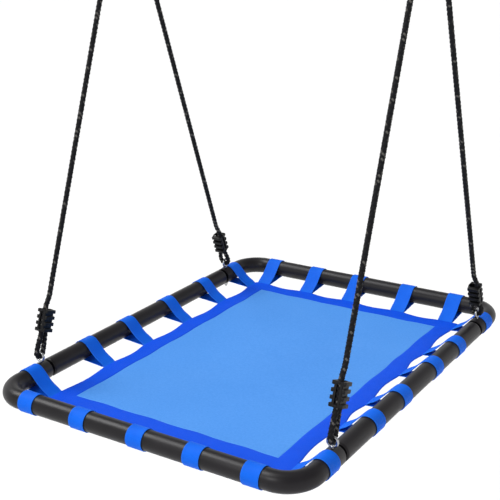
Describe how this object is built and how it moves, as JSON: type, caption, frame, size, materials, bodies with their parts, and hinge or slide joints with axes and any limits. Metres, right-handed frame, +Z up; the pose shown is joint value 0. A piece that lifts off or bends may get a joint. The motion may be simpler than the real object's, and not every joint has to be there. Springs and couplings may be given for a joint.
{
  "type": "platform swing",
  "caption": "Rectangular tube-framed platform swing with a mesh mat held by webbing straps, hung by ropes with ladder adjusters.",
  "frame": {"origin": "the middle of the line between the two hanging points, at the inner top of the two spring hooks", "axes": "+Z up; X along the seat's short sides, through both hanging points; Y along its long sides, with the front at -Y"},
  "size_m": [0.7742, 1.0242, 1.1572],
  "materials": {
    "frame_paint": "satin black powder coat",
    "bright_steel": "bright zinc",
    "mat_mesh": "coated woven mesh",
    "blue_webbing": "woven webbing",
    "rope": "braided rope",
    "black_plastic": "moulded"
  },
  "bodies": {
    "hangers": {"carabiner_left": "bright_steel", "carabiner_right": "bright_steel"},
    "gate_left": {"carabiner_gate_left": "bright_steel"},
    "gate_right": {"carabiner_gate_right": "bright_steel"},
    "ring_left": {"hanging_ring_left": "bright_steel"},
    "ring_right": {"hanging_ring_right": "bright_steel"},
    "ropes_left": {"rope_front_left": "rope", "rope_back_left": "rope", "adjuster_front_left": "black_plastic", "adjuster_back_left": "black_plastic", "rope_ferrule_front_left": "black_plastic", "rope_ferrule_back_left": "black_plastic"},
    "ropes_right": {"rope_front_right": "rope", "rope_back_right": "rope", "adjuster_front_right": "black_plastic", "adjuster_back_right": "black_plastic", "rope_ferrule_front_right": "black_plastic", "rope_ferrule_back_right": "black_plastic"},
    "platform": {"end_tube_front": "frame_paint", "end_tube_back": "frame_paint", "side_tube_left": "frame_paint", "side_tube_right": "frame_paint", "eyebolt_front_left": "bright_steel", "washer_front_left": "bright_steel", "nut_front_left": "bright_steel", "eyebolt_back_left": "bright_steel", "washer_back_left": "bright_steel", "nut_back_left": "bright_steel", "eyebolt_front_right": "bright_steel", "washer_front_right": "bright_steel", "nut_front_right": "bright_steel", "eyebolt_back_right": "bright_steel", "washer_back_right": "bright_steel", "nut_back_right": "bright_steel", "mat": "mat_mesh", "mat_binding": "blue_webbing", "strap_left_1": "blue_webbing", "strap_left_2": "blue_webbing", "strap_left_3": "blue_webbing", "strap_left_4": "blue_webbing", "strap_left_5": "blue_webbing", "strap_left_6": "blue_webbing", "strap_right_1": "blue_webbing", "strap_right_2": "blue_webbing", "strap_right_3": "blue_webbing", "strap_right_4": "blue_webbing", "strap_right_5": "blue_webbing", "strap_right_6": "blue_webbing", "strap_front_1": "blue_webbing", "strap_front_2": "blue_webbing", "strap_front_3": "blue_webbing", "strap_front_4": "blue_webbing", "strap_front_5": "blue_webbing", "strap_back_1": "blue_webbing", "strap_back_2": "blue_webbing", "strap_back_3": "blue_webbing", "strap_back_4": "blue_webbing", "strap_back_5": "blue_webbing"}
  },
  "joints": [
    {"name": "gate_left", "type": "hinge", "parent": "hangers", "child": "gate_left", "pos_m": [-0.3515, 0, -0.043], "axis": [0, -1, 0], "range_deg": [0, 25], "stiffness_Nm_per_rad": 0.03, "springref_deg": -17.19},
    {"name": "gate_right", "type": "hinge", "parent": "hangers", "child": "gate_right", "pos_m": [0.3765, 0, -0.043], "axis": [0, -1, 0], "range_deg": [0, 25], "stiffness_Nm_per_rad": 0.03, "springref_deg": -17.19},
    {"name": "swing", "type": "hinge", "parent": "hangers", "child": "ring_left", "pos_m": [-0.364, 0, -0.061], "axis": [1, 0, 0], "range_deg": [-40, 40]},
    {"name": "swing_right", "type": "hinge", "parent": "hangers", "child": "ring_right", "pos_m": [0.364, 0, -0.061], "axis": [1, 0, 0], "range_deg": [-40, 40]},
    {"name": "sway", "type": "hinge", "parent": "ring_left", "child": "ropes_left", "pos_m": [-0.364, 0, -0.09782], "axis": [0, 1, 0], "range_deg": [-12, 12]},
    {"name": "sway_right", "type": "hinge", "parent": "ring_right", "child": "ropes_right", "pos_m": [0.364, 0, -0.09782], "axis": [0, 1, 0], "range_deg": [-12, 12]},
    {"name": "seat_level", "type": "hinge", "parent": "ropes_left", "child": "platform", "pos_m": [-0.364, 0, -1.0841], "axis": [0, 1, 0], "range_deg": [-12, 12]}
  ],
  "couplings": [
    {"joint": "swing_right", "follows": "swing", "ratio": 1},
    {"joint": "sway_right", "follows": "sway", "ratio": 1},
    {"joint": "seat_level", "follows": "sway", "ratio": -1}
  ]
}
